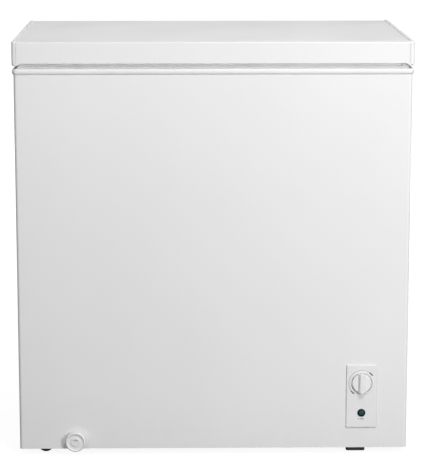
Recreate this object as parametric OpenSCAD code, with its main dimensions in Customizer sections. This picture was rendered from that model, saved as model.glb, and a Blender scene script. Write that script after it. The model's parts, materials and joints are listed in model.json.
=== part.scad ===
// Chest freezer: insulated cabinet, lifting lid, hanging basket, controls and cooling circuit.
// Millimetres. The origin is on the floor under the middle, +Z is up and the front faces -Y.

/* [Cabinet] */
// Width over the painted side walls
cabinet_w = 796; // [780:1:820]
// Depth from the painted front wall to the rear edge
cabinet_d = 519; // [510:1:530]
// Height of the top edge of the cabinet walls
cabinet_top = 796; // [780:1:820]
// Gap between the floor and the cabinet walls
ground_gap = 15; // [14:0.5:16]
// Thickness of the insulated walls
wall = 50; // [48:1:52]
// Outside radius of the cabinet's vertical corners
cabinet_r = 6; // [5:0.5:8]
// Thickness of the steel sheet
sheet = 0.8; // [0.6:0.1:1]

/* [Storage tank] */
// Height of the tank floor
tank_floor = 85; // [82:1:88]
// Height of the step over the machine bay
step_top = 290; // [288:1:296]
// Where the step's upright face stands, from the middle
step_x = 128; // [124:1:130]
// Inside radius of the tank's vertical corners
tank_r = 30; // [28:1:32]
// Thickness of the tank's wall
liner_t = 1; // [0.8:0.1:1.2]

/* [Lid] */
// Finger gap between the collar and the lid's front edge
lid_gap = 11; // [10:0.5:12]
// Height of the lid's front face
lid_h = 43; // [40:1:46]
// Width of each end cap
cap_w = 9; // [8:0.5:10]
// How far the end caps stand above the lid's top
cap_proud = 1.5; // [1:0.1:2]
// How far the plug under the lid reaches into the tank
plug_depth = 14; // [12:1:16]

/* [Basket] */
// Width of the basket
basket_w = 210; // [190:5:220]
// Height of the basket's bottom wires
basket_floor = 580; // [560:5:600]
// Distance of the basket's middle from the middle of the tank
basket_x = 232; // [220:1:232]

/* [Controls] */
// Distance of the control panel's middle from the middle of the front
panel_x = 304.5; // [300:0.5:306]
// Width of the control panel
panel_w = 63; // [60:1:66]
// Height of the control panel
panel_h = 132.5; // [128:0.5:136]
// Radius of the thermostat knob
knob_r = 20; // [19:0.5:20]
// Radius of the drain dial
dial_r = 20.5; // [19:0.5:21]

/* [Rollers and feet] */
// Radius of the rollers under the left end
roller_r = 16; // [15:0.5:16]
// Width of the levelling feet's square pads
foot_w = 38.7; // [36:0.1:40]

/* [Hidden] */
$fn = 48;

// Cabinet planes
knob_depth = 12.5;                      // how far the knob and the dial stand off the front
hinge_depth = 27.5;                     // how far the hinges stand off the rear edge
side_x = cabinet_w / 2;
front_y = -(cabinet_d + hinge_depth - knob_depth) / 2;
rear_y = front_y + cabinet_d;
flange_w = 20;                          // the wrap's return flanges behind
panel_back_y = rear_y - sheet;          // rear face of the back panel
foam_back_y = panel_back_y - sheet;
flange_z = ground_gap + sheet;
pan_z = 44;

// Storage tank planes
tank_x = side_x - wall;
tank_front = front_y + wall;
tank_back = rear_y - wall;
collar_t = 2.5;
collar_top = cabinet_top + collar_t;
collar_out = 3;                         // how far the collar stands off the walls
collar_drop = 8.5;                      // how far the collar reaches down outside
collar_lip = 14;                        // how far it reaches down inside
lip_t = 1.5;

// Machine bay under the step
bay_x = 172;
bay_top = 245;
base_t = 2.5;
base_top = flange_z + base_t;
comp_x = 285;
comp_y = 130;
comp_r = 75;
grommet_dx = 70;
grommet_dy = 55;

// Places where the cooling tubes pass the bay's ceiling
inlet_xy = [205, 207.5];
outlet_xy = [197, 224];
hot_xy = [182, 244];
drier_xy = [189, 20];
sensor_y = front_y + 27;

// Lid planes
lid_bottom = collar_top + lid_gap;
lid_top = lid_bottom + lid_h;
lid_front = front_y - collar_out;
lid_back = rear_y + 4;
lid_side = side_x + collar_out;
skin_x = lid_side - cap_w;
skin_return = 8;                         // how far the skin reaches under the lid
cap_drop = 4.8;                         // how far the end caps hang below the skin
joint_w = 0.9;                          // groove where an end cap meets the skin
joint_depth = 1.2;
inner_t = 1.5;                          // the lid's inner panel
inner_z = lid_bottom + sheet;
plug_x = tank_x - 14;
plug_front = tank_front + 14;
plug_back = tank_back - 14;
plug_bottom = cabinet_top - plug_depth;
gasket_in = 27;                         // from the tank's wall out to the gasket
gasket_w = 16;

// Hinges: pin axis, crank and plunger
hinge_x = 250;
pin_y = rear_y + 12.5;
pin_z = collar_top + 4.5;
pin_r = 3;
crank_r = 10;
crank_angle = 37.5;                     // half of the lid's travel
crank_y = pin_y + crank_r * cos(crank_angle);
crank_z = pin_z + crank_r * sin(crank_angle);
rod_y = pin_y + 6;
hinge_back = rear_y + hinge_depth;
channel_z = 670;
stop_z = 752;
washer_z = 688;
fit = 0.05;                             // radial clearance of turning and sliding fits
screw_r = 2;

// Controls on the front
panel_z = 124;
knob_z = 152;
lens_z = 89.5;
panel_face = front_y - 2.6;             // face of the control panel
panel_round = 1.8;                      // rounding of the panel's rim
panel_half = [panel_w, panel_h] / 2;
panel_gap = 0.7;                        // gap round the panel in the wrap's cut-out
panel_flange = 3;                       // how far its flange reaches behind the wrap
knob_gap = 1.8;                         // gap between the knob and the ring round it
drain_x = -283.3;
drain_z = 31.5;
drain_y = -165;                         // the drain hole in the tank's floor
drop_y = -200;                          // where the drain tube drops through the pan
drain_run_z = 62;                       // the tube's level between the two
spout_r = 9;
drain_bore_r = 6.5;                     // inside of the drain's spout and tube
drain_tube_r = 12;
drain_bend = 12.5;
drain_hole_r = 12.3;                    // hole in the foam and the pan round the tube
function drain_route(top) = [[drain_x, front_y + 5, drain_z], [drain_x, drop_y, drain_z],
    [drain_x, drop_y, drain_run_z], [drain_x, drain_y, drain_run_z], [drain_x, drain_y, top]];

// Rollers and feet
roller_x = -346.7;
roller_y = [front_y + 40, rear_y - 40];
roller_w = 20;
foot_x = 296;
foot_y = [front_y + 47, rear_y - 27];
stud_r = 4;

// ---- helpers ----

// Box between two corners
module slab(lo, hi) translate(lo) cube(hi - lo);

// Rods along the three axes
module rod_x(x0, x1, y, z, r) translate([x0, y, z]) rotate([0, 90, 0]) cylinder(r = r, h = x1 - x0);
module rod_y(x, y0, y1, z, r) translate([x, y0, z]) rotate([-90, 0, 0]) cylinder(r = r, h = y1 - y0);
module rod_z(x, y, z0, z1, r) translate([x, y, z0]) cylinder(r = r, h = z1 - z0);

// A flat shape drawn in Y and Z, drawn out along X
module along_x(x0, x1) translate([x0, 0, 0]) rotate([90, 0, 90]) linear_extrude(x1 - x0) children();

// A flat shape drawn in X and Z, drawn out along Y
module along_y(y0, y1) translate([0, y1, 0]) rotate([90, 0, 0]) linear_extrude(y1 - y0) children();

// Turned shape: radius and distance along -Y from the front, about an axis at x, z
module turned_front(x, z) translate([x, 0, z]) rotate([90, 0, 0]) rotate_extrude() children();

// Rectangle with round corners
module rounded(lo, hi, r) {
    translate([lo.x + r, lo.y]) square([hi.x - lo.x - 2 * r, hi.y - lo.y]);
    translate([lo.x, lo.y + r]) square([hi.x - lo.x, hi.y - lo.y - 2 * r]);
    for (x = [lo.x + r, hi.x - r], y = [lo.y + r, hi.y - r]) translate([x, y]) circle(r);
}

// Rectangle with two round corners at its upper side
module round_topped(lo, hi, r) {
    translate([lo.x + r, lo.y]) square([hi.x - lo.x - 2 * r, hi.y - lo.y]);
    translate(lo) square([hi.x - lo.x, hi.y - lo.y - r]);
    for (x = [lo.x + r, hi.x - r]) translate([x, hi.y - r]) circle(r);
}

// Closed band round a rounded rectangle. The child is its section: x outwards, y up.
module band(lo, hi, r) {
    mid = (lo + hi) / 2;
    span = hi - lo - [2 * r, 2 * r];
    edges = [[hi.x, mid.y], [mid.x, hi.y], [lo.x, mid.y], [mid.x, lo.y]];
    corners = [[hi.x - r, hi.y - r], [lo.x + r, hi.y - r], [lo.x + r, lo.y + r], [hi.x - r, lo.y + r]];
    for (k = [0:3]) {
        translate(edges[k]) rotate([0, 0, 90 * k]) rotate([90, 0, 0])
            linear_extrude(k % 2 == 0 ? span.y : span.x, center = true) children();
        translate(corners[k]) rotate([0, 0, 90 * k])
            rotate_extrude(angle = 90) translate([r, 0]) children();
    }
}

function unit(v) = v / norm(v);
function some_side(v) = abs(v.z) < 0.9 ? [0, 0, 1] : [1, 0, 0];

// Puts its child's X, Y and Z axes along the three given directions, at a point
module place(x, y, z, at)
    multmatrix([[x.x, y.x, z.x, at.x], [x.y, y.y, z.y, at.y], [x.z, y.z, z.z, at.z], [0, 0, 0, 1]])
        children();

// Round bar along a route, with true bends at its corners
module bar(route, r, bend) {
    last = len(route) - 1;
    turn = [for (i = [0:last]) i == 0 || i == last ? 0
        : acos(unit(route[i] - route[i - 1]) * unit(route[i + 1] - route[i]))];
    cut = [for (a = turn) bend * tan(a / 2)];
    for (i = [0:last - 1]) {
        d = unit(route[i + 1] - route[i]);
        side = unit(cross(some_side(d), d));
        place(side, cross(d, side), d, route[i] + d * cut[i])
            cylinder(r = r, h = norm(route[i + 1] - route[i]) - cut[i] - cut[i + 1]);
    }
    for (i = [1:last - 1]) if (turn[i] > 1) {
        u = unit(route[i] - route[i - 1]);
        v = unit(route[i + 1] - route[i]);
        n = unit(v - u * (u * v));
        place(-n, u, cross(-n, u), route[i] - u * cut[i] + n * bend)
            rotate_extrude(angle = turn[i]) translate([bend, 0]) circle(r);
    }
}

// Plan of the cabinet, a distance inside its painted walls
module cabinet_plan(inset)
    rounded([-side_x + inset, front_y + inset], [side_x - inset, rear_y - inset], cabinet_r - inset);

// The tank's shape, grown outwards by t: full size over the step, shorter below it
module tank(t, top) {
    translate([0, 0, step_top - t]) linear_extrude(top - step_top + t)
        rounded([-tank_x - t, tank_front - t], [tank_x + t, tank_back + t], tank_r + t);
    translate([0, 0, tank_floor - t]) linear_extrude(step_top - tank_floor + t)
        rounded([-tank_x - t, tank_front - t], [step_x + t, tank_back + t], tank_r + t);
}

// Row of narrow vent slots in a wall whose normal is along Y
module slots_y(x0, x1, y0, y1, z0, count, pitch)
    for (i = [0:count - 1]) slab([x0, y0, z0 + i * pitch], [x1, y1, z0 + i * pitch + 3.5]);

// ---- cabinet ----

module outer_wrap() color("white") difference() {
    union() {
        translate([0, 0, ground_gap]) linear_extrude(cabinet_top - ground_gap) difference() {
            cabinet_plan(0);
            cabinet_plan(sheet);
            translate([-side_x + flange_w, rear_y - 5]) square([cabinet_w - 2 * flange_w, 10]);
        }
        slab([-side_x + cabinet_r, front_y + sheet, ground_gap],
             [side_x - cabinet_r, front_y + 13, flange_z]);
        for (x = [-side_x + sheet, side_x - 13])
            slab([x, front_y + cabinet_r, ground_gap], [x + 12.2, rear_y - cabinet_r, flange_z]);
    }
    along_y(front_y - 1, front_y + 5) translate([panel_x, panel_z])
        rounded(-panel_half - [panel_gap, panel_gap], panel_half + [panel_gap, panel_gap], 3 + panel_gap);
    rod_y(drain_x, front_y - 1, front_y + 5, drain_z, spout_r + 0.5);
    slab([side_x - 5, -52, 73], [side_x + 5, 132, 197]);
}

screws_z = [26, 236];                   // rear grille screws
screws_x = [184, 278, 372];
base_screw_z = [700, 760];              // hinge screws in the back panel
base_screw_dx = 26;
lid_screw_z = [822, 840];               // hinge screws in the lid
lid_screw_dx = 22;

module back_panel() color("gainsboro") difference() {
    slab([-391, foam_back_y, ground_gap], [391, panel_back_y, cabinet_top - 1]);
    slab([188, foam_back_y - 1, 30], [368, panel_back_y + 1, 232]);
    for (x = screws_x, z = screws_z) rod_y(x, foam_back_y - 1, rear_y, z, screw_r + 0.1);
    for (h = [-hinge_x, hinge_x], s = [-1, 1], z = base_screw_z)
        rod_y(h + s * base_screw_dx, foam_back_y - 1, rear_y, z, screw_r + 0.1);
}

module left_part(x_end, z0, z1, inset) intersection() {
    translate([0, 0, z0]) linear_extrude(z1 - z0) cabinet_plan(inset);
    slab([-side_x, front_y, z0], [x_end, foam_back_y - inset + sheet, z1]);
}

module right_part(x_start, z0, z1, inset) intersection() {
    translate([0, 0, z0]) linear_extrude(z1 - z0) cabinet_plan(inset);
    slab([x_start, front_y, z0], [side_x, foam_back_y - inset + sheet, z1]);
}

module bottom_pan() color("silver") difference() {
    left_part(bay_x - sheet, flange_z, pan_z + sheet, sheet);
    left_part(bay_x - 2 * sheet, flange_z - 1, pan_z, 2 * sheet);
    rod_z(drain_x, drop_y, pan_z - 1, pan_z + 2, drain_hole_r);
    rod_y(drain_x, front_y, front_y + 5, drain_z, spout_r + 0.5);
}

module top_collar() color("whitesmoke") {
    bulge = [for (a = [0:15:180]) [(collar_out - 0.2) * sin(a),
        (collar_top + cabinet_top - collar_drop) / 2 - (collar_drop + collar_t) / 2 * cos(a)]];
    inner_lo = [-tank_x + lip_t + 0.2, tank_front + lip_t + 0.2];
    inner_hi = [tank_x - lip_t - 0.2, tank_back - lip_t - 0.2];
    translate([0, 0, cabinet_top]) linear_extrude(collar_t) difference() {
        rounded([-side_x - 0.6, front_y - 0.6], [side_x + 0.6, rear_y + 0.6], cabinet_r + 0.6);
        rounded(inner_lo, inner_hi, tank_r - lip_t - 0.2);
    }
    translate([0, 0, cabinet_top - collar_lip]) linear_extrude(collar_lip + 0.5) difference() {
        rounded([-tank_x + 0.2, tank_front + 0.2], [tank_x - 0.2, tank_back - 0.2], tank_r - 0.2);
        rounded(inner_lo, inner_hi, tank_r - lip_t - 0.2);
    }
    band([-side_x - 0.2, front_y - 0.2], [side_x + 0.2, rear_y + 0.2], cabinet_r + 0.2)
        polygon(bulge);
}

module inner_liner() color("white") difference() {
    union() {
        tank(liner_t, cabinet_top);
        translate([0, 0, cabinet_top - liner_t]) linear_extrude(liner_t)
            rounded([-tank_x - 12, tank_front - 12], [tank_x + 12, tank_back + 12], tank_r + 12);
    }
    tank(0, cabinet_top + 1);
    rod_z(drain_x, drain_y, tank_floor - 5, tank_floor + 5, spout_r + fit);
}

// ---- cooling tubes in the insulation ----

evap_r = 4;
evap_z = [330, 430, 530, 630, 730];
evap_lo = [-tank_x - 5.5, tank_front - 5.5];
evap_hi = [tank_x + 5.5, tank_back + 5.5];
cond_r = 2.5;
cond_z = [350, 450, 550, 650, 750];
cond_lo = [-side_x + 4, front_y + 4];
cond_hi = [side_x - 4, rear_y - 8];
riser_x = [15, 45];                     // where the loops step up to the next level, behind
outlet_x = 45;
evap_run_z = 262;
cond_run_z = 276;
evap_room = evap_r + 1.3;               // half width of the channels, clear of the tubes' bends
cond_room = cond_r + 0.9;

// One turn round the cabinet, from one riser to the other, left-handed or right-handed
function turn_points(lo, hi, z, leftwards) =
    let (ring = [[riser_x[0], hi.y, z], [lo.x, hi.y, z], [lo.x, lo.y, z],
                 [hi.x, lo.y, z], [hi.x, hi.y, z], [riser_x[1], hi.y, z]])
    leftwards ? ring : [for (i = [5:-1:0]) ring[i]];
function loops(lo, hi, levels) =
    [for (i = [0:len(levels) - 1]) each turn_points(lo, hi, levels[i], i % 2 == 0)];

module evaporator_tube() color("goldenrod") bar(concat(
    [[inlet_xy.x, evap_hi.y, bay_top - 5], [inlet_xy.x, evap_hi.y, 300], [riser_x[0], evap_hi.y, 300]],
    loops(evap_lo, evap_hi, evap_z),
    [[outlet_x, outlet_xy.y, evap_z[4]], [outlet_x, outlet_xy.y, evap_run_z],
     [outlet_xy.x, outlet_xy.y, evap_run_z], [outlet_xy.x, outlet_xy.y, bay_top - 5]]), evap_r, 8);

module condenser_tube() color("dimgray") bar(concat(
    [[hot_xy.x, cond_hi.y, bay_top - 5], [hot_xy.x, cond_hi.y, 320], [riser_x[0], cond_hi.y, 320]],
    loops(cond_lo, cond_hi, cond_z),
    [[outlet_x, cond_hi.y - 10, cond_z[4]], [outlet_x, cond_hi.y - 10, cond_run_z],
     [drier_xy.x, cond_hi.y - 10, cond_run_z], [drier_xy.x, drier_xy.y, cond_run_z],
     [drier_xy.x, drier_xy.y, bay_top - 5]]), cond_r, 5);

// Square channel round a route made of straight stretches along the axes
module channel(route, half)
    for (i = [0:len(route) - 2]) {
        a = route[i];
        b = route[i + 1];
        lo = [min(a.x, b.x), min(a.y, b.y), min(a.z, b.z)] - [half, half, half];
        hi = [max(a.x, b.x), max(a.y, b.y), max(a.z, b.z)] + [half, half, half];
        slab(lo, hi);
    }

module ring_channel(lo, hi, z, half) translate([0, 0, z - half]) linear_extrude(2 * half) difference() {
    rounded(lo - [half, half], hi + [half, half], 5);
    rounded(lo + [half, half], hi - [half, half], 3);
}

module foam_insulation() color("khaki") difference() {
    left_part(side_x, pan_z + sheet, cabinet_top - liner_t, sheet);
    tank(liner_t, cabinet_top);
    slab([bay_x - sheet, front_y, 0], [side_x, rear_y, bay_top + sheet]);
    bar(drain_route(tank_floor), drain_hole_r, drain_bend);
    for (z = evap_z) ring_channel(evap_lo, evap_hi, z, evap_room);
    for (z = cond_z) ring_channel(cond_lo, cond_hi, z, cond_room);
    channel([[inlet_xy.x, evap_hi.y, bay_top], [inlet_xy.x, evap_hi.y, 300],
        [riser_x[0], evap_hi.y, 300], [riser_x[0], evap_hi.y, evap_z[4]]], evap_room);
    channel([[riser_x[1], evap_hi.y, evap_z[0]], [riser_x[1], evap_hi.y, evap_z[4]],
        [outlet_x, outlet_xy.y, evap_z[4]], [outlet_x, outlet_xy.y, evap_run_z],
        [outlet_xy.x, outlet_xy.y, evap_run_z], [outlet_xy.x, outlet_xy.y, bay_top]], evap_room);
    channel([[hot_xy.x, cond_hi.y, bay_top], [hot_xy.x, cond_hi.y, 320],
        [riser_x[0], cond_hi.y, 320], [riser_x[0], cond_hi.y, cond_z[4]]], cond_room);
    channel([[riser_x[1], cond_hi.y, cond_z[0]], [riser_x[1], cond_hi.y, cond_z[4]],
        [outlet_x, cond_hi.y - 10, cond_z[4]], [outlet_x, cond_hi.y - 10, cond_run_z],
        [drier_xy.x, cond_hi.y - 10, cond_run_z], [drier_xy.x, drier_xy.y, cond_run_z],
        [drier_xy.x, drier_xy.y, bay_top]], cond_room);
    channel([[panel_x, sensor_y, bay_top], [panel_x, sensor_y, 268], [panel_x, -120, 268]], 2.5);
}

// ---- machine bay ----

module bay_liner() color("gainsboro") difference() {
    right_part(bay_x - sheet, base_top, bay_top + sheet, sheet + 0.1);
    right_part(bay_x, base_top - 1, bay_top, 0);
    rod_z(inlet_xy.x, inlet_xy.y, bay_top - 1, bay_top + 2, evap_r + 0.4);
    rod_z(outlet_xy.x, outlet_xy.y, bay_top - 1, bay_top + 2, evap_r + 0.4);
    rod_z(hot_xy.x, hot_xy.y, bay_top - 1, bay_top + 2, cond_r + 0.4);
    rod_z(drier_xy.x, drier_xy.y, bay_top - 1, bay_top + 2, cond_r + 0.4);
    rod_z(panel_x, sensor_y, bay_top - 1, bay_top + 2, 1.4);
}

module base_plate() color("silver") difference() {
    union() {
        right_part(bay_x - sheet, flange_z, base_top, sheet + 0.1);
        for (y = foot_y) rod_z(foot_x, y, base_top - 1, base_top + 8, 8);
    }
    for (y = foot_y) rod_z(foot_x, y, 0, base_top + 10, stud_r + fit);
    for (x = [-1, 1], y = [-1, 1])
        rod_z(comp_x + x * grommet_dx, comp_y + y * grommet_dy, 0, base_top + 1, 3.2);
    for (i = [0:5]) slab([250, -150 + 14 * i, 0], [350, -146.5 + 14 * i, base_top + 1]);
}

module compressor() color("#202225") {
    translate([comp_x, comp_y, 0]) {
        rotate_extrude() intersection() {
            translate([0, 42]) square([comp_r + 5, 160]);
            union() {
                translate([-comp_r, 42]) rounded([0, 0], [2 * comp_r, 80], 22);
                translate([-comp_r + 3, 80]) rounded([0, 0], [2 * comp_r - 6, 120], 34);
                translate([0, 112]) square([comp_r + 3, 4]);
            }
        }
        difference() {
            translate([0, 0, 38]) linear_extrude(3) rounded([-84, -68], [84, 68], 14);
            for (x = [-1, 1], y = [-1, 1])
                rod_z(x * grommet_dx, y * grommet_dy, 30, 50, 8);
        }
        rod_z(0, 0, 40, 60, 45);
        slab([50, -18, 92], [79, 18, 143]);
    }
    rod_x(208, comp_x - 40, comp_y + 30, 150, 5.5);
    rod_x(208, comp_x - 40, comp_y - 30, 170, 4);
    rod_x(188, comp_x - 40, comp_y, 100, 3);
    slab([178, comp_y - 4, 99.2], [190, comp_y + 4, 100.8]);
}

module compressor_grommets() color("#181818")
    for (x = [-1, 1], y = [-1, 1])
        translate([comp_x + x * grommet_dx, comp_y + y * grommet_dy, 0]) difference() {
            union() {
                rod_z(0, 0, base_top, 38, 11);
                rod_z(0, 0, 37, 42, 7.8);
                rod_z(0, 0, 41, 45, 10);
            }
            rod_z(0, 0, 0, 50, 3.2);
        }

module compressor_bolts() color("silver")
    for (x = [-1, 1], y = [-1, 1])
        translate([comp_x + x * grommet_dx, comp_y + y * grommet_dy, 0]) {
            rod_z(0, 0, flange_z - 3, flange_z, 6.5);
            rod_z(0, 0, flange_z - 1, 54, 3);
            rod_z(0, 0, 45, 46.5, 8);
            translate([0, 0, 46.5]) cylinder(r = 5.8, h = 5, $fn = 6);
        }

module terminal_cover() color("#303236") difference() {
    slab([comp_x + 76, comp_y - 25, 85], [comp_x + 101, comp_y + 25, 150]);
    slab([comp_x + 70, comp_y - 23, 87], [comp_x + 99, comp_y + 23, 148]);
    rod_z(comp_x + 89, comp_y - 12, 80, 90, 2.8);
    rod_z(comp_x + 89, comp_y + 15, 80, 90, 2.8);
}

module start_relay() color("ivory") {
    slab([comp_x + 79, comp_y - 17, 96], [comp_x + 93, comp_y + 17, 130]);
    rod_x(comp_x + 79, comp_x + 91, comp_y, 137, 8);
}

module filter_drier() color("peru") translate([drier_xy.x, drier_xy.y, 0]) {
    rod_z(0, 0, 100, 180, 10);
    translate([0, 0, 180]) cylinder(r1 = 10, r2 = 3.5, h = 12);
    translate([0, 0, 88]) cylinder(r1 = 2, r2 = 10, h = 12);
    rod_z(0, 0, 190, bay_top - 5, 2.5);
}

module suction_tube() color("peru") bar([[208, comp_y + 30, 150], [outlet_xy.x, comp_y + 30, 150],
    [outlet_xy.x, outlet_xy.y, 150], [outlet_xy.x, outlet_xy.y, bay_top - 5]], evap_r, 6);

module discharge_tube() color("peru") bar([[208, comp_y - 30, 170], [hot_xy.x, comp_y - 30, 170],
    [hot_xy.x, comp_y - 30, 220], [hot_xy.x, hot_xy.y, 220], [hot_xy.x, hot_xy.y, bay_top - 5]],
    cond_r, 6);

module capillary_tube() color("peru") bar([[drier_xy.x, drier_xy.y, 88], [drier_xy.x, drier_xy.y, 62],
    [drier_xy.x, inlet_xy.y, 62], [inlet_xy.x, inlet_xy.y, 62], [inlet_xy.x, inlet_xy.y, bay_top - 5]],
    1.1, 6);

gland_x = 205;
gland_z = 40;

module rear_grille() color("#3a3c40") difference() {
    slab([180, panel_back_y, 22], [376, panel_back_y + 1.2, 240]);
    slots_y(196, 270, panel_back_y - 1, panel_back_y + 3, 62, 14, 12);
    slots_y(286, 360, panel_back_y - 1, panel_back_y + 3, 50, 15, 12);
    for (x = screws_x, z = screws_z) rod_y(x, panel_back_y - 1, panel_back_y + 3, z, screw_r + 0.1);
    rod_y(gland_x, panel_back_y - 1, panel_back_y + 3, gland_z, 6.5);
}

// Pan-headed screw whose head rests on a plate at y
module screw_y(x, y, z, length) {
    rod_y(x, y - length, y + 0.5, z, screw_r);
    rod_y(x, y, y + 1.6, z, 4);
    rod_y(x, y + 1.5, y + 2.4, z, 2.8);
}

module rear_grille_screws() color("silver")
    for (x = screws_x, z = screws_z) screw_y(x, panel_back_y + 1.2, z, 1.2 + sheet);

module side_grille() color("#55585c") difference() {
    union() {
        slab([side_x, -58, 67], [side_x + 1.4, 138, 203]);
        slab([side_x - 4, -51.5, 73.5], [side_x + 0.5, 131.5, 196.5]);
    }
    slab([side_x - 6, -49.5, 75.5], [side_x - 1.2, 129.5, 194.5]);
    for (i = [0:12], s = [0, 1])
        slab([side_x - 5, -46 + 89 * s, 80 + 8.5 * i], [side_x + 5, 37 + 89 * s, 83.5 + 8.5 * i]);
}

module cord_gland() color("#181818") difference() {
    union() {
        rod_y(gland_x, panel_back_y - 6, panel_back_y + 4.8, gland_z, 6.4);
        rod_y(gland_x, panel_back_y + 1.2, panel_back_y + 3.6, gland_z, 9);
        rod_y(gland_x, panel_back_y - 3, panel_back_y - 0.2, gland_z, 8);
    }
    rod_y(gland_x, rear_y - 20, rear_y + 20, gland_z, 4.2);
}

// ---- controls ----

lens_r = 4.9;
holder_r = 7.4;                         // body of the lamp's holder behind its rim

module control_panel() color("gainsboro") difference() {
    depth = front_y + sheet - panel_face;
    inset = [panel_round, panel_round];
    reach = [panel_flange, panel_flange];
    union() {
        translate([panel_x, front_y + sheet, panel_z]) rotate([90, 0, 0]) {
            linear_extrude(depth) rounded(inset - panel_half, panel_half - inset, 3 - panel_round);
            translate([0, 0, -1.5]) linear_extrude(1.5)
                rounded(-panel_half - reach, panel_half + reach, 3 + panel_flange);
            band(-panel_half, panel_half, 3) intersection() {
                translate([-panel_round, 0]) square([panel_round, depth]);
                union() {
                    translate([-panel_round, 0]) square([panel_round, depth - panel_round]);
                    translate([-panel_round, depth - panel_round]) circle(panel_round);
                }
            }
        }
        slab([panel_x - 28.5, front_y - 0.5, panel_z - 63], [panel_x + 28.5, front_y + 11, panel_z + 63]);
        rod_y(panel_x, panel_face - 0.8, panel_face + 0.2, knob_z, knob_r + knob_gap + 2.4);
    }
    slab([panel_x - 26.7, front_y + 0.2, panel_z - 61.2], [panel_x + 26.7, front_y + 12, panel_z + 61.2]);
    rod_y(panel_x, panel_face - 1, panel_face + 1.6, knob_z, knob_r + knob_gap);
    rod_y(panel_x, panel_face - 1, front_y + 1, knob_z, pin_r + 1);
    rod_y(panel_x, panel_face - 1, front_y + 1, lens_z, holder_r);
}

module thermostat() color("#2b2d30") difference() {
    union() {
        slab([panel_x - 21, front_y + 5, knob_z - 18], [panel_x + 21, front_y + 29, knob_z + 16]);
        rod_y(panel_x, front_y + 0.2, front_y + 6, knob_z, 9);
    }
    rod_y(panel_x, front_y - 1, front_y + 22, knob_z, pin_r + fit);
}

module thermostat_shaft() color("silver")
    rod_y(panel_x, front_y - knob_depth + 3.5, front_y + 21, knob_z, pin_r);

module thermostat_knob() color("whitesmoke") difference() {
    union() {
        turned_front(panel_x, knob_z) polygon([[0, 3.1 - front_y], [knob_r, 3.1 - front_y],
            [knob_r, 5.2 - front_y], [knob_r - 0.8, 6.2 - front_y], [knob_r - 2.4, 6.8 - front_y],
            [0, 6.8 - front_y]]);
        intersection() {
            rod_y(panel_x, front_y - knob_depth, front_y - 5, knob_z, knob_r - 0.4);
            translate([panel_x, 0, knob_z - knob_r]) linear_extrude(2 * knob_r)
                polygon([[-7.4, front_y - 5], [-7.4, front_y - 6.8], [-4, front_y - knob_depth + 0.7],
                    [-3.2, front_y - knob_depth], [3.2, front_y - knob_depth],
                    [4, front_y - knob_depth + 0.7], [7.4, front_y - 6.8], [7.4, front_y - 5]]);
        }
    }
    rod_y(panel_x, front_y - knob_depth + 3.5, front_y, knob_z, pin_r);
}

module lamp_holder() color("#141618") difference() {
    union() {
        rod_y(panel_x, panel_face - 1.4, panel_face, lens_z, 8.1);
        rod_y(panel_x, panel_face - 0.5, front_y + 20, lens_z, holder_r);
    }
    rod_y(panel_x, front_y - 10, front_y + 10, lens_z, lens_r);
}

module indicator_lens() color("#1d5650") turned_front(panel_x, lens_z) intersection() {
    translate([0, -front_y - 6]) square([lens_r, 20]);
    translate([0, 2.4 - panel_face - 14.2]) circle(14.2);
}

module sensor_tube() color("peru") bar([[panel_x, sensor_y, knob_z + 16], [panel_x, sensor_y, 268],
    [panel_x, -120, 268]], 1, 6);

module wiring_harness() color("#3a3a3a") {
    lead_y = front_y + 62;
    bar([[panel_x, front_y + 29, knob_z], [panel_x, lead_y, knob_z], [panel_x, lead_y, 60],
        [387, lead_y, 60], [387, comp_y - 12, 60], [374, comp_y - 12, 60], [374, comp_y - 12, 88]],
        2.5, 6);
    rod_y(panel_x, front_y + 20, lead_y, lens_z, 1.8);
    bar([[gland_x, rear_y - 8, gland_z], [gland_x, 212, gland_z], [374, 212, gland_z],
        [374, comp_y + 15, gland_z], [374, comp_y + 15, 88]], 2.5, 6);
}

// ---- drain ----

module drain_tube() color("silver") difference() {
    bar(drain_route(tank_floor - liner_t), drain_tube_r, drain_bend);
    bar(drain_route(tank_floor - liner_t), drain_bore_r, drain_bend);
    rod_y(drain_x, front_y, front_y + 54, drain_z, spout_r + fit);
    rod_z(drain_x, drain_y, 72, tank_floor + 1, spout_r + fit);
}

module drain_spout() color("whitesmoke") difference() {
    union() {
        rod_y(drain_x, front_y - 2.3, front_y + 52, drain_z, spout_r);
        rod_y(drain_x, front_y - 2.3, front_y - 0.4, drain_z, 13);
    }
    rod_y(drain_x, front_y - 5, front_y + 55, drain_z, drain_bore_r);
}

module drain_dial() color("whitesmoke") difference() {
    face = knob_depth - front_y;            // the rim's and the boss's planes
    turned_front(drain_x, drain_z) polygon([[0, -17 - front_y], [drain_bore_r - fit, -17 - front_y],
        [drain_bore_r - fit, 2.8 - front_y], [dial_r, 2.8 - front_y], [dial_r, face - 2.4],
        [dial_r - 0.3, face - 1.4], [dial_r - 0.8, face - 0.6], [dial_r - 1.6, face - 0.15],
        [dial_r - 2.5, face], [dial_r - 3.3, face - 0.3], [dial_r - 4.2, face - 2.6],
        [10.2, face - 2.6], [9.6, face - 1.6], [8.8, face - 1.1], [0, face - 1.1]]);
    slab([drain_x - 4.4, front_y - knob_depth, drain_z + 2.4],
         [drain_x + 4.4, front_y - knob_depth + 6, drain_z + 5.2]);
}

module drain_stopper() color("#2c2f33") {
    rod_z(drain_x, drain_y, 76, tank_floor + 1, spout_r);
    rod_z(drain_x, drain_y, tank_floor + 0.1, tank_floor + 3, 14);
    rod_z(drain_x, drain_y, tank_floor + 2, tank_floor + 5.5, 5);
}

// ---- rollers and feet ----

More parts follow.
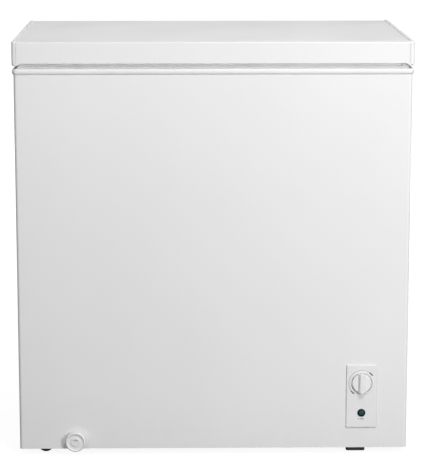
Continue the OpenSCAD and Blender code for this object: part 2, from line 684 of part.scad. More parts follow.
module roller_brackets() color("silver") for (y = roller_y) difference() {
    union() {
        slab([roller_x - 24, y - 12.5, pan_z - 1.5], [roller_x + 24, y + 12.5, pan_z]);
        for (s = [-12.5, 10.5]) along_y(y + s, y + s + 2) {
            translate([roller_x, roller_r]) circle(7);
            translate([roller_x - 6.5, roller_r]) square([13, pan_z - roller_r - 0.5]);
        }
    }
    rod_y(roller_x, y - 20, y + 20, roller_r, pin_r);
}

module roller_axles() color("gray") for (y = roller_y) {
    rod_y(roller_x, y - 13.5, y + 13.5, roller_r, pin_r);
    for (s = [-14.3, 12.5]) rod_y(roller_x, y + s, y + s + 1.8, roller_r, 4.5);
}

module roller(y) color("#26282b") translate([roller_x, y, roller_r]) rotate([90, 0, 0])
    rotate_extrude() difference() {
        translate([0, -roller_w / 2]) rounded([-roller_r, 0], [roller_r, roller_w], 2.5);
        translate([-roller_r - 1, -roller_w]) square([roller_r + 1 + pin_r + fit, 2 * roller_w]);
    }
module roller_front() roller(roller_y[0]);
module roller_rear() roller(roller_y[1]);

module levelling_foot(y) color("#26282b") translate([foot_x, y, 0]) {
    half = [foot_w, foot_w] / 2;
    linear_extrude(9) rounded(-half, half, 5);
    translate([0, 0, 8]) linear_extrude(3) rounded([3, 3] - half, half - [3, 3], 3);
    rod_z(0, 0, 10, 60, stud_r);
}
module levelling_foot_front() levelling_foot(foot_y[0]);
module levelling_foot_rear() levelling_foot(foot_y[1]);

// ---- hinges ----

cheek_in = 16.5;
cheek_out = 18;

module hinge_base(h) color("silver") translate([h, 0, 0]) difference() {
    union() {
        for (x = [-cheek_out, cheek_in]) along_x(x, x + 1.5) {
            polygon([[panel_back_y, channel_z], [hinge_back, channel_z], [hinge_back, 780],
                [pin_y + 7, pin_z], [pin_y - 7, pin_z], [pin_y - 7, 786.8], [panel_back_y, 786.8]]);
            translate([pin_y, pin_z]) circle(7.5);
        }
        slab([-cheek_out, hinge_back - 1.5, channel_z], [cheek_out, hinge_back, 770]);
        for (x = [-34, cheek_in])
            slab([x, panel_back_y, channel_z], [x + 17.5, panel_back_y + 1.5, 786]);
        slab([-cheek_in - 0.5, panel_back_y + 3, stop_z], [cheek_in + 0.5, hinge_back - 1, stop_z + 2]);
    }
    rod_x(-20, 20, pin_y, pin_z, pin_r);
    rod_z(0, rod_y, stop_z - 1, stop_z + 3, 2.5);
    for (s = [-1, 1], z = base_screw_z) rod_y(s * base_screw_dx, rear_y - 5, rear_y + 5, z, screw_r + 0.1);
}

module hinge_pin(h) color("gray") translate([h, 0, 0]) {
    rod_x(-cheek_out - 0.5, cheek_out + 0.5, pin_y, pin_z, pin_r);
    for (x = [-cheek_out - 1.8, cheek_out]) rod_x(x, x + 1.8, pin_y, pin_z, 5);
}

module hinge_arm(h) color("silver") translate([h, 0, 0]) difference() {
    union() {
        slab([-30, lid_back, pin_z + 11], [30, lid_back + 2, lid_top - 4.5]);
        for (x = [-15, 13]) along_x(x, x + 2) {
            polygon([[lid_back, pin_z + 11], [lid_back, lid_top - 4.5], [lid_back + 4, lid_top - 4.5],
                [crank_y + 4, crank_z + 2], [pin_y + 5, pin_z - 4], [pin_y - 4.5, pin_z - 4]]);
            translate([pin_y, pin_z]) circle(7);
            translate([crank_y, crank_z]) circle(5);
        }
        rod_x(-15, 15, crank_y, crank_z, 2);
    }
    rod_x(-20, 20, pin_y, pin_z, pin_r + fit);
    for (s = [-1, 1], z = lid_screw_z) rod_y(s * lid_screw_dx, lid_back - 5, lid_back + 5, z, screw_r + 0.1);
}

module hinge_plunger(h) color("gray") translate([h, 0, 0]) {
    difference() {
        slab([-8, rod_y - 2, crank_z - 5.5], [8, hinge_back - 0.3, crank_z + 5.5]);
        slab([-9, rod_y - 3, crank_z - 2.6], [9, crank_y + 4.8, crank_z + 2.6]);
    }
    rod_z(0, rod_y, washer_z - 4, crank_z - 4, 2);
    rod_z(0, rod_y, washer_z, washer_z + 2, 7);
    rod_z(0, rod_y, washer_z - 3, washer_z, 3.6);
}

module hinge_spring(h) color("gray") translate([h, 0, 0]) difference() {
    rod_z(0, rod_y, washer_z + 2.3, stop_z - 0.3, 6.5);
    rod_z(0, rod_y, washer_z, stop_z, 4.5);
}

module hinge_base_left() hinge_base(-hinge_x);
module hinge_base_right() hinge_base(hinge_x);
module hinge_pin_left() hinge_pin(-hinge_x);
module hinge_pin_right() hinge_pin(hinge_x);
module hinge_arm_left() hinge_arm(-hinge_x);
module hinge_arm_right() hinge_arm(hinge_x);
module hinge_plunger_left() hinge_plunger(-hinge_x);
module hinge_plunger_right() hinge_plunger(hinge_x);
module hinge_spring_left() hinge_spring(-hinge_x);
module hinge_spring_right() hinge_spring(hinge_x);

module hinge_base_screws() color("silver") for (h = [-hinge_x, hinge_x], s = [-1, 1], z = base_screw_z)
    screw_y(h + s * base_screw_dx, panel_back_y + 1.5, z, 1.5 + sheet);

module hinge_lid_screws() color("silver") for (h = [-hinge_x, hinge_x], s = [-1, 1], z = lid_screw_z)
    screw_y(h + s * lid_screw_dx, lid_back + 2, z, 2 + sheet);

// ---- lid ----

module lid_section(inset) round_topped([lid_front + inset, lid_bottom + inset],
    [lid_back - inset, lid_top - inset], 3 - inset);

module lid_skin() color("whitesmoke") difference() {
    along_x(-skin_x, skin_x) difference() {
        lid_section(0);
        lid_section(sheet);
        translate([lid_front + skin_return, lid_bottom - 1])
            square([lid_back - lid_front - 2 * skin_return, 3]);
    }
    for (h = [-hinge_x, hinge_x], s = [-1, 1], z = lid_screw_z)
        rod_y(h + s * lid_screw_dx, lid_back - 3, lid_back + 1, z, screw_r + 0.1);
}

module lid_end_cap() color("whitesmoke") {
    low = lid_bottom - cap_drop;
    high = lid_top + cap_proud;
    intersection() {
        union() {
            along_x(skin_x + joint_w, lid_side) rounded([lid_front, low], [lid_back, high], 4);
            along_x(skin_x, lid_side - 1) rounded([lid_front + joint_depth, low + joint_depth],
                [lid_back - joint_depth, high - joint_depth], 4 - joint_depth);
        }
        along_y(lid_front, lid_back) rounded([skin_x - 10, low], [lid_side, high], 3.5);
        translate([0, 0, low]) linear_extrude(high - low)
            rounded([skin_x - 20, lid_front], [lid_side, lid_back], 5);
    }
    fillet = [for (i = [0:6]) [skin_x - 11 + i * 11 / 6, lid_bottom - cap_drop * pow(i / 6, 2)]];
    for (y = [lid_front + 0.3, lid_back - skin_return + 0.3]) along_y(y, y + skin_return - 0.6)
        polygon(concat(fillet, [[skin_x + 2, low + 0.4], [skin_x + 2, lid_bottom]]));
}
module lid_end_cap_right() lid_end_cap();
module lid_end_cap_left() mirror([1, 0, 0]) lid_end_cap();

module lid_inner_panel() color("white") difference() {
    union() {
        slab([-skin_x + 0.5, lid_front + 1.5, inner_z], [skin_x - 0.5, lid_back - 1.5, inner_z + inner_t]);
        translate([0, 0, plug_bottom]) linear_extrude(inner_z - plug_bottom + 0.5)
            rounded([-plug_x, plug_front], [plug_x, plug_back], 20);
    }
    translate([0, 0, plug_bottom + inner_t]) linear_extrude(60)
        rounded([-plug_x + inner_t, plug_front + inner_t], [plug_x - inner_t, plug_back - inner_t],
            20 - inner_t);
}

module lid_foam() color("khaki") {
    along_x(-skin_x + 0.1, skin_x - 0.1) round_topped([lid_front + sheet, inner_z + inner_t],
        [lid_back - sheet, lid_top - sheet], 3 - sheet);
    translate([0, 0, plug_bottom + inner_t]) linear_extrude(inner_z - plug_bottom + 0.5)
        rounded([-plug_x + inner_t, plug_front + inner_t], [plug_x - inner_t, plug_back - inner_t],
            20 - inner_t);
}

// Section of the magnetic gasket: base, two pleats and the magnet's bulb
module gasket_section() {
    half = [[0, inner_z], [0, inner_z - 1.7], [3.5, inner_z - 2.9], [2.2, inner_z - 4.9],
        [3.5, inner_z - 6.7], [0.8, inner_z - 7.7], [0.2, inner_z - 9.8], [1.2, collar_top]];
    polygon(concat(half, [for (i = [7:-1:0]) [gasket_w - half[i].x, half[i].y]]));
}

module lid_gasket() color("lightgray") {
    reach = gasket_in + gasket_w;
    for (x = [-tank_x - reach, tank_x + gasket_in])
        along_y(tank_front - reach, tank_back + reach) translate([x, 0]) gasket_section();
    for (y = [tank_front - reach, tank_back + gasket_in])
        along_x(-tank_x - reach, tank_x + reach) translate([y, 0]) gasket_section();
}

// ---- basket ----

rim_r = 2.5;
wire_r = 1.6;
hanger_r = 2;
basket_lo = [basket_x - basket_w / 2, tank_front + 8];
basket_hi = [basket_x + basket_w / 2, tank_back - 8];
basket_rim = cabinet_top - 24;
hanger_z = collar_top + hanger_r + 0.3;
hanger_out = 10;

module wire_ring(z, r) translate([0, 0, z]) band(basket_lo, basket_hi, 20) circle(r);

module wire_basket() color("white") {
    lo = basket_lo + [3, 3];
    hi = basket_hi - [3, 3];
    wire_ring(basket_rim, rim_r);
    for (z = [basket_floor + 22, basket_floor + 78, basket_floor + 134]) wire_ring(z, hanger_r);
    for (i = [0:6]) {
        x = lo.x + 22 + i * (hi.x - lo.x - 44) / 6;
        bar([[x, lo.y, basket_rim], [x, lo.y, basket_floor + 3], [x, hi.y, basket_floor + 3],
            [x, hi.y, basket_rim]], wire_r, 14);
    }
    for (i = [0:11]) {
        y = lo.y + 22 + i * (hi.y - lo.y - 44) / 11;
        bar([[lo.x, y, basket_rim], [lo.x, y, basket_floor + 5.6], [hi.x, y, basket_floor + 5.6],
            [hi.x, y, basket_rim]], wire_r, 14);
    }
    for (side = [[basket_lo.y, tank_front - hanger_out], [basket_hi.y, tank_back + hanger_out]])
        bar([[basket_lo.x + 32, side[0], basket_rim - 4], [basket_lo.x + 32, side[0], hanger_z],
            [basket_lo.x + 32, side[1], hanger_z], [basket_hi.x - 32, side[1], hanger_z],
            [basket_hi.x - 32, side[0], hanger_z], [basket_hi.x - 32, side[0], basket_rim - 4]],
            hanger_r, 6);
}

outer_wrap();
back_panel();
bottom_pan();
top_collar();
inner_liner();
foam_insulation();
evaporator_tube();
condenser_tube();
bay_liner();
base_plate();
compressor();
compressor_grommets();
compressor_bolts();
terminal_cover();
start_relay();
filter_drier();
suction_tube();
discharge_tube();
capillary_tube();
rear_grille();
rear_grille_screws();
side_grille();
cord_gland();
control_panel();
thermostat();
thermostat_shaft();
thermostat_knob();
indicator_lens();
lamp_holder();
sensor_tube();
wiring_harness();
drain_tube();
drain_spout();
drain_dial();
drain_stopper();
roller_brackets();
roller_axles();
roller_front();
roller_rear();
levelling_foot_front();
levelling_foot_rear();
hinge_base_left();
hinge_base_right();
hinge_pin_left();
hinge_pin_right();
hinge_arm_left();
hinge_arm_right();
hinge_plunger_left();
hinge_plunger_right();
hinge_spring_left();
hinge_spring_right();
hinge_base_screws();
hinge_lid_screws();
lid_skin();
lid_end_cap_left();
lid_end_cap_right();
lid_inner_panel();
lid_foam();
lid_gasket();
wire_basket();
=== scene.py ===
import json
import math

import bmesh
import bpy
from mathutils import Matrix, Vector


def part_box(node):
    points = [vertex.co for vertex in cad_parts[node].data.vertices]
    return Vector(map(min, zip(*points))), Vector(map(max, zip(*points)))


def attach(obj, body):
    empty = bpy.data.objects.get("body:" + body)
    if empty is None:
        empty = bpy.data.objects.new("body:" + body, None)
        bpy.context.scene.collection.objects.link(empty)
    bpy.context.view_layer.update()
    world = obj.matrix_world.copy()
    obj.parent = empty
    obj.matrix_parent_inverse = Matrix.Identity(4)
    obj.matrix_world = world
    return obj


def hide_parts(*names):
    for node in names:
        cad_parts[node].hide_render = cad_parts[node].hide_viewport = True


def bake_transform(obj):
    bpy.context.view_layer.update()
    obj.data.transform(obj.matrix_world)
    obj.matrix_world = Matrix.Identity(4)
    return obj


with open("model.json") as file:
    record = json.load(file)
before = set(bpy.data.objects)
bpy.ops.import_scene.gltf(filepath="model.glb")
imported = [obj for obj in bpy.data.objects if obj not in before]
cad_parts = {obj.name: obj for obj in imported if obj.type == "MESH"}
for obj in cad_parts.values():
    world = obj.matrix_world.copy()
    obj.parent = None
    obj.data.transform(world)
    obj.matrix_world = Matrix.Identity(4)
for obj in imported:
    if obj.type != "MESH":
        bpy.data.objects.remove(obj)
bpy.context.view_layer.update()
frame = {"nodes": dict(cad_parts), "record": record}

NODES = frame["nodes"]
SCENE = bpy.context.scene
MM = 0.001

# Metres and radians. The camera stands a little left of the middle and looks slightly down.
CAMERA_PLACE = (-0.0683, -4.270, 1.2142)
CAMERA_DOWN = 0.186
CAMERA_TURN = -0.0169
LENS_MM = 154.0
SENSOR_MM = 36.0

FLOOR_SIZE = 60
FLOOR_GREY = 0.2                # low, so that the floor throws little light back up
FADE_NEAR, FADE_FAR = 0.5, 2.5  # distances between which the floor fades to white
GLOW_NEAR, GLOW_FAR = 0.92, 1.0
WORLD_FILL = 0.2                # how bright the surroundings are to all but the camera


# ---- camera, stage and lights ----

def make_camera():
    """A long lens on the front, without shift."""
    data = bpy.data.cameras.new("camera")
    data.lens = LENS_MM
    data.sensor_width = SENSOR_MM
    camera = bpy.data.objects.new("camera", data)
    SCENE.collection.objects.link(camera)
    camera.location = CAMERA_PLACE
    camera.rotation_euler = (math.radians(90) - CAMERA_DOWN, 0.0, CAMERA_TURN)
    SCENE.camera = camera


def make_floor():
    """A wide pale floor that fades to white with distance."""
    bpy.ops.mesh.primitive_grid_add(x_subdivisions=8, y_subdivisions=8, size=FLOOR_SIZE)
    floor = bpy.context.object
    floor.name = "floor"
    mat = bpy.data.materials.new("floor_white")
    mat.use_nodes = True
    nodes, links = mat.node_tree.nodes, mat.node_tree.links
    nodes.remove(nodes["Principled BSDF"])
    matte = nodes.new("ShaderNodeBsdfDiffuse")
    matte.inputs["Color"].default_value = (FLOOR_GREY, FLOOR_GREY, FLOOR_GREY, 1)
    glow = nodes.new("ShaderNodeEmission")
    place = nodes.new("ShaderNodeTexCoord")
    away = nodes.new("ShaderNodeVectorMath")
    away.operation = "LENGTH"
    links.new(place.outputs["Object"], away.inputs[0])
    fade = nodes.new("ShaderNodeMapRange")
    for socket, value in (("From Min", FADE_NEAR), ("From Max", FADE_FAR),
                          ("To Min", GLOW_NEAR), ("To Max", GLOW_FAR)):
        fade.inputs[socket].default_value = value
    links.new(away.outputs["Value"], fade.inputs["Value"])
    ray = nodes.new("ShaderNodeLightPath")
    strength = nodes.new("ShaderNodeMath")
    strength.operation = "MULTIPLY"
    links.new(ray.outputs["Is Camera Ray"], strength.inputs[0])
    links.new(fade.outputs["Result"], strength.inputs[1])
    links.new(strength.outputs[0], glow.inputs["Strength"])
    both = nodes.new("ShaderNodeAddShader")
    links.new(matte.outputs[0], both.inputs[0])
    links.new(glow.outputs[0], both.inputs[1])
    links.new(both.outputs[0], nodes["Material Output"].inputs["Surface"])
    floor.data.materials.append(mat)


def make_world():
    """White to the camera, and a dim even fill to everything else."""
    world = bpy.data.worlds.new("studio")
    SCENE.world = world
    world.use_nodes = True
    nodes, links = world.node_tree.nodes, world.node_tree.links
    sky = nodes["Background"]
    sky.inputs["Color"].default_value = (1, 1, 1, 1)
    ray = nodes.new("ShaderNodeLightPath")
    strength = nodes.new("ShaderNodeMapRange")
    strength.inputs["To Min"].default_value = WORLD_FILL
    strength.inputs["To Max"].default_value = 1.0
    links.new(ray.outputs["Is Camera Ray"], strength.inputs["Value"])
    links.new(strength.outputs["Result"], sky.inputs["Strength"])


def softbox(name, place, target, size, power):
    """A rectangular area light aimed at a point."""
    data = bpy.data.lights.new(name, "AREA")
    data.shape = "RECTANGLE"
    data.size, data.size_y = size
    data.energy = power
    light = bpy.data.objects.new(name, data)
    SCENE.collection.objects.link(light)
    light.location = place
    aim = Vector(target) - Vector(place)
    light.rotation_euler = aim.to_track_quat("-Z", "Y").to_euler()


def make_lights():
    """A key from the right, soft fill in front, and lights above and behind for lid and back."""
    softbox("key", (1.9, -2.6, 0.95), (0.15, -0.27, 0.6), (0.7, 0.7), 42)
    softbox("front", (0.0, -4.6, 1.0), (0.0, -0.27, 0.5), (2.0, 1.2), 5)
    softbox("left", (-2.2, -3.2, 1.6), (0.0, -0.27, 0.5), (1.6, 1.6), 20)
    softbox("above_front", (0.7, -1.9, 2.7), (0.1, -0.27, 0.7), (0.9, 0.5), 37)
    softbox("behind", (0.0, 2.6, 2.0), (0.0, 0.2, 0.8), (2.0, 1.0), 20)
    softbox("back_fill", (0.6, 4.2, 0.4), (0.0, 0.25, 0.4), (2.4, 0.7), 26)


# ---- material tools ----

class Shader:
    """A material with object-space coordinates and short calls for its texture nodes."""

    def __init__(self, name, **sockets):
        self.material = bpy.data.materials.new(name)
        self.material.use_nodes = True
        self.nodes = self.material.node_tree.nodes
        self.links = self.material.node_tree.links
        self.surface = self.nodes["Principled BSDF"]
        self.place = self.nodes.new("ShaderNodeTexCoord").outputs["Object"]
        for socket, value in sockets.items():
            self.surface.inputs[socket.replace("_", " ")].default_value = value

    def node(self, kind, **inputs):
        made = self.nodes.new("ShaderNode" + kind)
        for socket, value in inputs.items():
            target = made.inputs[socket.replace("_", " ")]
            if isinstance(value, bpy.types.NodeSocket):
                self.links.new(value, target)
            else:
                target.default_value = value
        return made

    def stretched(self, x, y, z):
        """Coordinates stretched along an axis, for brushed and drawn surfaces."""
        return self.node("Mapping", Vector=self.place, Scale=(x, y, z)).outputs["Vector"]

    def noise(self, scale, detail, vector=None):
        return self.node("TexNoise", Vector=vector or self.place, Scale=scale,
                         Detail=detail).outputs["Fac"]

    def cells(self, scale, output="Distance", vector=None):
        return self.node("TexVoronoi", Vector=vector or self.place, Scale=scale).outputs[output]

    def grey(self, colour):
        return self.node("RGBToBW", Color=colour).outputs["Val"]

    def ramp(self, factor, low, high, start=0.3, end=0.7):
        made = self.node("ValToRGB", Fac=factor)
        stops = made.color_ramp.elements
        stops[0].position, stops[1].position = start, end
        stops[0].color, stops[1].color = (*low, 1), (*high, 1)
        return made.outputs["Color"]

    def span(self, factor, low, high, start=0.3, end=0.7):
        return self.node("MapRange", Value=factor, From_Min=start, From_Max=end,
                         To_Min=low, To_Max=high).outputs["Result"]

    def mix(self, factor, first, second):
        made = self.nodes.new("ShaderNodeMix")
        made.data_type = "RGBA"
        for socket, value in ((0, factor), (6, first), (7, second)):
            self.links.new(value, made.inputs[socket])
        return made.outputs[2]

    def height(self, axis):
        return self.node("SeparateXYZ", Vector=self.place).outputs[axis]

    def bump(self, height, distance, strength):
        made = self.node("Bump", Height=height, Distance=distance, Strength=strength)
        self.links.new(made.outputs["Normal"], self.surface.inputs["Normal"])

    def colour(self, socket):
        self.links.new(socket, self.surface.inputs["Base Color"])

    def roughness(self, socket):
        self.links.new(socket, self.surface.inputs["Roughness"])


def tint(value, warm=0.0):
    """A near-neutral colour: warm above 0 is warmer, below 0 cooler."""
    return (value * (1 + warm), value, value * (1 - warm))


# ---- materials ----

def white_paint():
    """Baked white paint on steel: faint clouds, fine orange peel, a little darker towards the
    bottom.
    """
    s = Shader("white_paint", Specular_IOR_Level=0.42, Coat_Weight=0.06, Coat_Roughness=0.35)
    clouds = s.ramp(s.noise(2.6, 3), tint(0.835), tint(0.862))
    # the paint turns a little darker towards the bottom, from 13 cm above the floor downwards
    lower_tone = s.ramp(s.noise(34, 4), tint(0.795, 0.004), tint(0.845, 0.002))
    low = s.span(s.height("Z"), 0.55, 0.0, 0.015, 0.13)
    s.colour(s.mix(low, clouds, lower_tone))
    s.roughness(s.span(s.noise(9, 3), 0.47, 0.57))
    s.bump(s.noise(420, 2), 0.00012, 0.35)
    return s.material


def liner_paint():
    """White coated sheet with the pebbled embossing of a freezer tank, and a hint of frost."""
    s = Shader("liner_paint", Specular_IOR_Level=0.5, Coat_Weight=0.2, Coat_Roughness=0.2)
    frost = s.ramp(s.noise(22, 5), tint(0.80, -0.012), tint(0.88, -0.004), 0.35, 0.65)
    s.colour(frost)
    s.roughness(s.span(s.noise(60, 3), 0.28, 0.5))
    s.bump(s.cells(170), 0.0006, 0.5)
    return s.material


def grey_paint():
    s = Shader("grey_paint", Metallic=0.15)
    s.colour(s.ramp(s.noise(14, 4), tint(0.50, -0.01), tint(0.57, -0.004)))
    s.roughness(s.span(s.noise(40, 2), 0.42, 0.58))
    s.bump(s.noise(380, 2), 0.00015, 0.4)
    return s.material


def galvanised_steel():
    """Zinc with its crystals, each a little lighter or darker and smoother or rougher."""
    s = Shader("galvanised_steel", Metallic=0.92)
    crystal = s.grey(s.cells(85, "Color"))
    s.colour(s.ramp(crystal, (0.46, 0.48, 0.50), (0.68, 0.70, 0.72), 0.2, 0.8))
    s.roughness(s.span(crystal, 0.33, 0.55, 0.2, 0.8))
    s.bump(s.noise(260, 3), 0.00012, 0.5)
    return s.material


def bright_steel():
    s = Shader("bright_steel", Metallic=1.0)
    drawn = s.noise(220, 4, s.stretched(1, 1, 9))
    s.colour(s.ramp(drawn, tint(0.55, -0.01), tint(0.72)))
    s.roughness(s.span(drawn, 0.22, 0.4))
    s.bump(drawn, 0.00005, 0.5)
    return s.material


def spring_steel():
    s = Shader("spring_steel", Metallic=1.0)
    s.colour(s.ramp(s.noise(180, 3), (0.13, 0.13, 0.14), (0.30, 0.30, 0.32)))
    s.roughness(s.span(s.noise(300, 2), 0.3, 0.5))
    s.bump(s.noise(900, 2), 0.00004, 0.5)
    return s.material


def white_plastic():
    """Moulded white plastic with a fine spark-eroded grain."""
    s = Shader("white_plastic", Specular_IOR_Level=0.5, Subsurface_Weight=0.03,
               Subsurface_Scale=0.002)
    s.colour(s.ramp(s.noise(5, 3), tint(0.83, 0.004), tint(0.865, 0.002)))
    s.roughness(s.span(s.noise(25, 3), 0.38, 0.5))
    s.bump(s.noise(1500, 2), 0.00005, 0.5)
    return s.material


def panel_plastic():
    s = Shader("panel_plastic", Specular_IOR_Level=0.5)
    s.colour(s.ramp(s.noise(18, 3), tint(0.82), tint(0.85)))
    s.roughness(s.span(s.noise(40, 2), 0.42, 0.54))
    s.bump(s.noise(1800, 2), 0.00005, 0.5)
    return s.material


def inner_plastic():
    """Vacuum-formed lid panel: fairly glossy, with a fine grain."""
    s = Shader("inner_plastic", Specular_IOR_Level=0.5, Subsurface_Weight=0.04,
               Subsurface_Scale=0.003)
    s.colour(s.ramp(s.noise(7, 3), tint(0.835, -0.004), tint(0.86, -0.002)))
    s.roughness(s.span(s.noise(30, 3), 0.30, 0.42))
    s.bump(s.noise(600, 2), 0.00004, 0.4)
    return s.material


def foam():
    s = Shader("foam", Roughness=0.92)
    s.colour(s.ramp(s.noise(30, 5), (0.72, 0.60, 0.33), (0.86, 0.76, 0.48)))
    s.bump(s.cells(520), 0.0007, 0.7)
    return s.material


def aluminium_tube():
    s = Shader("aluminium_tube", Metallic=1.0)
    s.colour(s.ramp(s.noise(60, 3), tint(0.62, -0.01), tint(0.76)))
    s.roughness(s.span(s.noise(200, 2), 0.3, 0.45))
    s.bump(s.noise(600, 2), 0.00004, 0.5)
    return s.material


def dark_tube():
    s = Shader("dark_tube", Metallic=0.3)
    s.colour(s.ramp(s.noise(80, 3), tint(0.04), tint(0.09)))
    s.roughness(s.span(s.noise(120, 2), 0.45, 0.65))
    s.bump(s.noise(500, 2), 0.0001, 0.5)
    return s.material


def copper():
    """Copper tube with patches of brown tarnish."""
    s = Shader("copper", Metallic=1.0)
    tarnish = s.noise(55, 4)
    s.colour(s.ramp(tarnish, (0.36, 0.17, 0.10), (0.78, 0.38, 0.24), 0.35, 0.62))
    s.roughness(s.span(tarnish, 0.5, 0.26, 0.35, 0.62))
    s.bump(s.noise(500, 2), 0.00005, 0.5)
    return s.material


def black_enamel():
    s = Shader("black_enamel", Coat_Weight=0.7, Coat_Roughness=0.12)
    s.colour(s.ramp(s.noise(12, 3), tint(0.012, -0.05), tint(0.022, -0.05)))
    s.roughness(s.span(s.noise(40, 3), 0.28, 0.42))
    s.bump(s.noise(150, 2), 0.0004, 0.35)
    return s.material


def rubber(name, low, high):
    s = Shader(name, Specular_IOR_Level=0.3)
    s.colour(s.ramp(s.noise(90, 4), tint(low), tint(high)))
    s.roughness(s.span(s.noise(60, 3), 0.68, 0.88))
    s.bump(s.noise(1200, 3), 0.0001, 0.6)
    return s.material


def rubber_black():
    return rubber("rubber_black", 0.014, 0.028)


def rubber_grey():
    return rubber("rubber_grey", 0.10, 0.15)


def gasket_grey():
    """Soft grey vinyl of the magnetic gasket, with a faint uneven tone."""
    s = Shader("gasket_grey", Specular_IOR_Level=0.35, Subsurface_Weight=0.05,
               Subsurface_Scale=0.002)
    s.colour(s.ramp(s.noise(28, 4), tint(0.76), tint(0.82)))
    s.roughness(s.span(s.noise(50, 3), 0.5, 0.66))
    s.bump(s.noise(800, 2), 0.00008, 0.5)
    return s.material


def moulded(name, low, high, rough, gloss=0.45):
    """Textured moulding plastic between two greys."""
    s = Shader(name, Specular_IOR_Level=gloss)
    s.colour(s.ramp(s.noise(45, 4), tint(low), tint(high)))
    s.roughness(s.span(s.noise(35, 3), rough - 0.07, rough + 0.07))
    s.bump(s.cells(900), 0.00012, 0.5)
    return s.material


def black_plastic():
    return moulded("black_plastic", 0.004, 0.008, 0.6, 0.12)


def dark_plastic():
    return moulded("dark_plastic", 0.045, 0.065, 0.6)


def grille_plastic():
    return moulded("grille_plastic", 0.62, 0.68, 0.5)


def grey_plastic():
    return moulded("grey_plastic", 0.42, 0.50, 0.5)


def ivory_plastic():
    s = Shader("ivory_plastic")
    s.colour(s.ramp(s.noise(40, 3), (0.68, 0.62, 0.46), (0.76, 0.70, 0.55)))
    s.roughness(s.span(s.noise(50, 2), 0.42, 0.56))
    s.bump(s.noise(1200, 2), 0.00008, 0.5)
    return s.material


def scuffed(name, low, high):
    """Dark plastic that is greyed by dust and scuffs where it meets the floor."""
    s = Shader(name, Specular_IOR_Level=0.4)
    clean = s.ramp(s.noise(70, 4), tint(low), tint(high))
    worn = s.ramp(s.noise(240, 5), tint(0.06), tint(0.16))
    s.colour(s.mix(s.span(s.height("Z"), 0.8, 0.0, 0.0, 0.007), clean, worn))
    s.roughness(s.span(s.noise(80, 3), 0.5, 0.72))
    s.bump(s.noise(600, 3), 0.00015, 0.6)
    return s.material


def roller_nylon():
    return scuffed("roller_nylon", 0.030, 0.050)


def foot_plastic():
    return scuffed("foot_plastic", 0.028, 0.045)


def lens_green():
    """Unlit green lens: deep colour under a clear face, with fine prisms behind it."""
    s = Shader("lens_green", Coat_Weight=0.35, Coat_Roughness=0.08, Specular_IOR_Level=0.35)
    s.colour(s.ramp(s.cells(700), (0.006, 0.046, 0.042), (0.014, 0.098, 0.092), 0.1, 0.6))
    s.roughness(s.span(s.noise(200, 2), 0.14, 0.24))
    s.bump(s.cells(700), 0.0002, 0.35)
    return s.material


def cable_sleeve():
    """Woven sleeve over the wires."""
    s = Shader("cable_sleeve")
    braid = s.cells(900, vector=s.stretched(1, 1, 0.5))
    s.colour(s.ramp(braid, tint(0.012), tint(0.05), 0.15, 0.6))
    s.roughness(s.span(braid, 0.55, 0.75, 0.15, 0.6))
    s.bump(braid, 0.0004, 0.8)
    return s.material


def coated_wire():
    """White dip-coated wire, thicker in places where the coating ran."""
    s = Shader("coated_wire", Coat_Weight=0.35, Coat_Roughness=0.15)
    s.colour(s.ramp(s.noise(40, 3), tint(0.80, -0.006), tint(0.87, -0.002)))
    s.roughness(s.span(s.noise(120, 3), 0.24, 0.36))
    s.bump(s.noise(180, 2), 0.0002, 0.5)
    return s.material


def printed(name, low, high):
    """Flat ink, between two greys."""
    s = Shader(name)
    s.colour(s.ramp(s.noise(1400, 3), tint(low), tint(high)))
    s.roughness(s.span(s.noise(300, 2), 0.5, 0.62))
    s.bump(s.noise(2200, 2), 0.00003, 0.5)
    return s.material


def print_grey():
    return printed("print_grey", 0.12, 0.17)


def print_pale():
    return printed("print_pale", 0.36, 0.44)


MATERIALS = {f.__name__: f() for f in (
    white_paint, liner_paint, grey_paint, galvanised_steel, bright_steel, spring_steel,
    white_plastic, panel_plastic, inner_plastic, foam, aluminium_tube, dark_tube, copper,
    black_enamel, rubber_black, rubber_grey, gasket_grey, black_plastic, dark_plastic,
    grille_plastic, grey_plastic, ivory_plastic, roller_nylon, foot_plastic, lens_green,
    cable_sleeve, coated_wire, print_grey, print_pale)}


def dress_nodes():
    """Each CAD node takes the material of its own slot in the record."""
    for part in frame["record"]["subparts"]:
        mesh = NODES[part["node"]].data
        mesh.materials.clear()
        mesh.materials.append(MATERIALS[part["material_slot"]])


# ---- refined pieces ----

def piece(name, bm, material, body):
    """Turns a bmesh into a smooth piece. It rides on the body, unless that is None."""
    bmesh.ops.recalc_face_normals(bm, faces=bm.faces)
    mesh = bpy.data.meshes.new(name)
    bm.to_mesh(mesh)
    bm.free()
    for face in mesh.polygons:
        face.use_smooth = True
    mesh.materials.append(MATERIALS[material])
    obj = bpy.data.objects.new(name, mesh)
    SCENE.collection.objects.link(obj)
    if body:
        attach(obj, body)
    return obj


def arc_plate(bm, centre, inner, outer, start, end, front, back, steps):
    """A flat arc in the XZ plane, given by its radii and angles, between two planes of Y."""
    rings = []
    for i in range(steps + 1):
        a = math.radians(start + (end - start) * i / steps)
        rings.append([bm.verts.new((centre[0] + r * math.cos(a), y, centre[1] + r * math.sin(a)))
                      for r, y in ((inner, front), (outer, front), (outer, back), (inner, back))])
    for one, two in zip(rings, rings[1:]):
        for k in range(4):
            bm.faces.new((one[k], one[(k + 1) % 4], two[(k + 1) % 4], two[k]))
    bm.faces.new(rings[0])
    bm.faces.new(rings[-1][::-1])


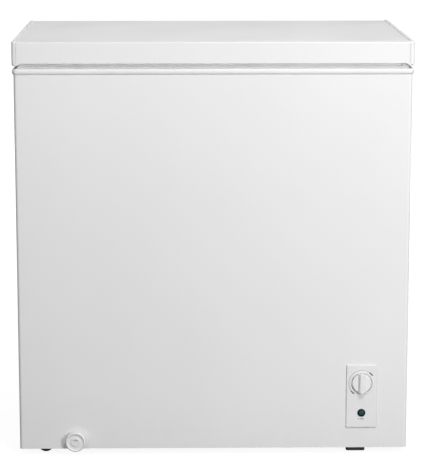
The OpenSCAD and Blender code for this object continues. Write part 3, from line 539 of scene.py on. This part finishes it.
def rounded_tablet(bm, centre, width, height, front, back):
    """A small flat mark with half-round ends, in the XZ plane."""
    steps = 8
    radius = height / 2
    outline = []
    for side in (1, -1):
        for i in range(steps + 1):
            a = math.radians(180 * i / steps - 90 * side)
            x = side * (width / 2 - radius) + radius * math.cos(a)
            outline.append((centre[0] + x, centre[1] + radius * math.sin(a)))
    near = [bm.verts.new((x, front, z)) for x, z in outline]
    far = [bm.verts.new((x, back, z)) for x, z in outline]
    bm.faces.new(near)
    bm.faces.new(far[::-1])
    for i in range(len(near)):
        j = (i + 1) % len(near)
        bm.faces.new((near[i], near[j], far[j], far[i]))


def middle(node):
    """The centre of a CAD node's box."""
    lo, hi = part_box(node)
    return (Vector(lo) + Vector(hi)) / 2


def panel_marks():
    """The printed scale round the knob and the generic mark under the lamp, in mm and degrees."""
    lo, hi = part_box("control_panel")
    knob = middle("thermostat_knob")
    lamp = middle("indicator_lens")
    rim_height, print_proud, print_sunk = 0.8 * MM, 0.12 * MM, 0.1 * MM
    face = lo[1] + rim_height
    front, back = face - print_proud, face + print_sunk
    centre = (knob.x, knob.z)
    bm = bmesh.new()
    scale_start, scale_end = 45, 225
    end_half = 10
    arc_plate(bm, centre, 26.5 * MM, 27.4 * MM, scale_start + end_half, scale_end - end_half,
              front, back, 96)
    piece("scale_arc", bm, "print_pale", "cabinet")
    bm = bmesh.new()
    for angle in (scale_start, scale_end):
        arc_plate(bm, centre, 25.8 * MM, 28.4 * MM, angle - end_half, angle + end_half,
                  front, back, 12)
    piece("scale_ends", bm, "print_grey", "cabinet")
    bm = bmesh.new()
    mark_z, mark_height = lamp.z - 13.2 * MM, 1.5 * MM
    for shift, width in ((-5.4, 3.2), (1.6, 8.2)):
        rounded_tablet(bm, (lamp.x + shift * MM, mark_z), width * MM, mark_height, front, back)
    piece("lamp_mark", bm, "print_grey", "cabinet")


def hinge_coil(side):
    """The real coil of a hinge spring, in place of its sleeve."""
    node = "hinge_spring_" + side
    lo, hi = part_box(node)
    axis = middle(node)
    wire = 0.9 * MM
    radius = (hi[0] - lo[0]) / 2 - wire
    bottom, top = lo[2] + wire, hi[2] - wire
    turns, per_turn, sides = 11, 28, 8
    closed = 0.75               # turns at each end that lie flat
    bm = bmesh.new()
    rings = []
    steps = turns * per_turn
    for i in range(steps + 1):
        t = i / steps
        a = 2 * math.pi * turns * t
        rise = min(1.0, max(0.0, (t * turns - closed) / (turns - 2 * closed)))
        centre = Vector((axis.x + radius * math.cos(a), axis.y + radius * math.sin(a),
                         bottom + (top - bottom) * rise))
        out = Vector((math.cos(a), math.sin(a), 0))
        ring = []
        for k in range(sides):
            b = 2 * math.pi * k / sides
            across = out * wire * math.cos(b)
            ring.append(bm.verts.new(centre + across + Vector((0, 0, wire * math.sin(b)))))
        rings.append(ring)
    for one, two in zip(rings, rings[1:]):
        for k in range(sides):
            bm.faces.new((one[k], one[(k + 1) % sides], two[(k + 1) % sides], two[k]))
    bm.faces.new(rings[0][::-1])
    bm.faces.new(rings[-1])
    coil = piece("hinge_coil_" + side, bm, "spring_steel", None)
    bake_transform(coil)
    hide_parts(node)


make_camera()
make_floor()
make_world()
make_lights()
SCENE.view_settings.view_transform = "Standard"
dress_nodes()
panel_marks()
for side in ("left", "right"):
    hinge_coil(side)
